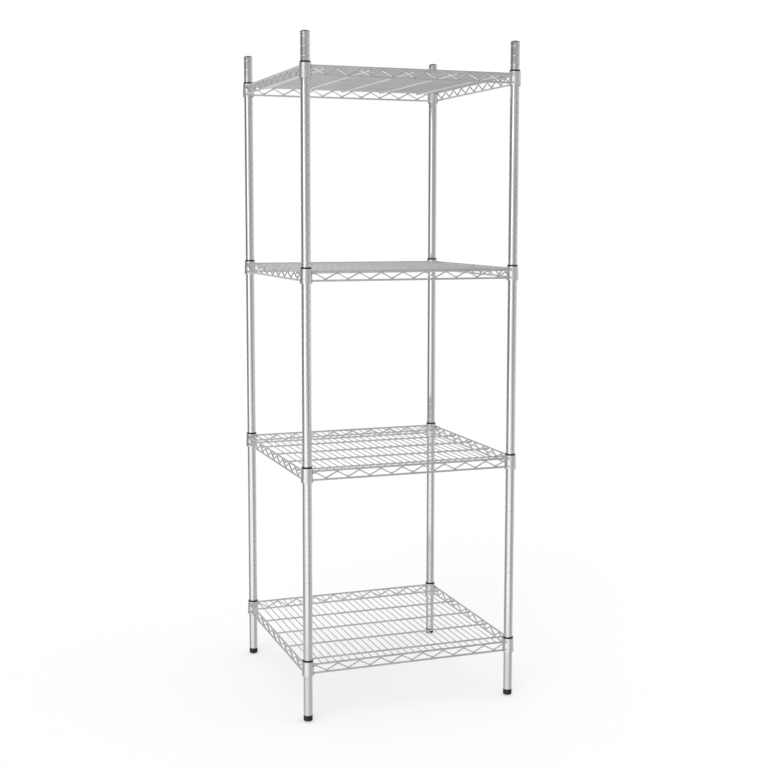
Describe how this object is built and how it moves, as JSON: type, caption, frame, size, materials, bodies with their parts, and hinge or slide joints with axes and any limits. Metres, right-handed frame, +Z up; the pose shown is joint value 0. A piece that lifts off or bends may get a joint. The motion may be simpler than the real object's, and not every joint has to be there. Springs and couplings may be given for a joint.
{
  "type": "metal shelving unit",
  "caption": "Square free-standing wire shelving unit: chrome shelves with zigzag side trusses, wedged by split sleeves on grooved round posts with levelling feet.",
  "frame": {"origin": "centre of the footprint on the floor, midway between the four posts", "axes": "+Z up, -Y towards the front that the picture shows at its right, -X towards the left side, +Y towards the back"},
  "size_m": [0.6334, 0.6334, 1.8504],
  "materials": {
    "chrome_tube": "bright chrome plated steel tube",
    "chrome_wire": "bright chrome plated welded steel wire",
    "zinc_steel": "zinc plated turned steel",
    "grey_plastic": "grey moulded plastic",
    "black_plastic": "black moulded plastic"
  },
  "bodies": {
    "post_frame": {"post_front_left": "chrome_tube", "post_front_right": "chrome_tube", "post_back_left": "chrome_tube", "post_back_right": "chrome_tube", "cap_front_left": "grey_plastic", "cap_front_right": "grey_plastic", "cap_back_left": "grey_plastic", "cap_back_right": "grey_plastic", "insert_front_left": "zinc_steel", "insert_front_right": "zinc_steel", "insert_back_left": "zinc_steel", "insert_back_right": "zinc_steel", "sleeves_top": "black_plastic", "sleeves_upper": "black_plastic", "sleeves_lower": "black_plastic", "sleeves_bottom": "black_plastic"},
    "shelf_top": {"collars_top": "chrome_wire", "front_truss_top": "chrome_wire", "back_truss_top": "chrome_wire", "left_truss_top": "chrome_wire", "right_truss_top": "chrome_wire", "support_wires_top": "chrome_wire", "deck_wires_top": "chrome_wire"},
    "shelf_upper": {"collars_upper": "chrome_wire", "front_truss_upper": "chrome_wire", "back_truss_upper": "chrome_wire", "left_truss_upper": "chrome_wire", "right_truss_upper": "chrome_wire", "support_wires_upper": "chrome_wire", "deck_wires_upper": "chrome_wire"},
    "shelf_lower": {"collars_lower": "chrome_wire", "front_truss_lower": "chrome_wire", "back_truss_lower": "chrome_wire", "left_truss_lower": "chrome_wire", "right_truss_lower": "chrome_wire", "support_wires_lower": "chrome_wire", "deck_wires_lower": "chrome_wire"},
    "shelf_bottom": {"collars_bottom": "chrome_wire", "front_truss_bottom": "chrome_wire", "back_truss_bottom": "chrome_wire", "left_truss_bottom": "chrome_wire", "right_truss_bottom": "chrome_wire", "support_wires_bottom": "chrome_wire", "deck_wires_bottom": "chrome_wire"},
    "levelling_front_left": {"foot_front_left": "black_plastic", "stem_front_left": "zinc_steel"},
    "levelling_front_right": {"foot_front_right": "black_plastic", "stem_front_right": "zinc_steel"},
    "levelling_back_left": {"foot_back_left": "black_plastic", "stem_back_left": "zinc_steel"},
    "levelling_back_right": {"foot_back_right": "black_plastic", "stem_back_right": "zinc_steel"}
  },
  "joints": [
    {"name": "shelf_top_lift", "type": "slide", "parent": "post_frame", "child": "shelf_top", "axis": [0, 0, 1], "range_m": [0, 0.1]},
    {"name": "shelf_upper_lift", "type": "slide", "parent": "post_frame", "child": "shelf_upper", "axis": [0, 0, 1], "range_m": [0, 0.48]},
    {"name": "shelf_lower_lift", "type": "slide", "parent": "post_frame", "child": "shelf_lower", "axis": [0, 0, 1], "range_m": [0, 0.48]},
    {"name": "shelf_bottom_lift", "type": "slide", "parent": "post_frame", "child": "shelf_bottom", "axis": [0, 0, 1], "range_m": [0, 0.48]},
    {"name": "levelling_front_left_screw", "type": "slide", "parent": "post_frame", "child": "levelling_front_left", "axis": [0, 0, 1], "range_m": [-0.02, 0]},
    {"name": "levelling_front_right_screw", "type": "slide", "parent": "post_frame", "child": "levelling_front_right", "axis": [0, 0, 1], "range_m": [-0.02, 0]},
    {"name": "levelling_back_left_screw", "type": "slide", "parent": "post_frame", "child": "levelling_back_left", "axis": [0, 0, 1], "range_m": [-0.02, 0]},
    {"name": "levelling_back_right_screw", "type": "slide", "parent": "post_frame", "child": "levelling_back_right", "axis": [0, 0, 1], "range_m": [-0.02, 0]}
  ]
}
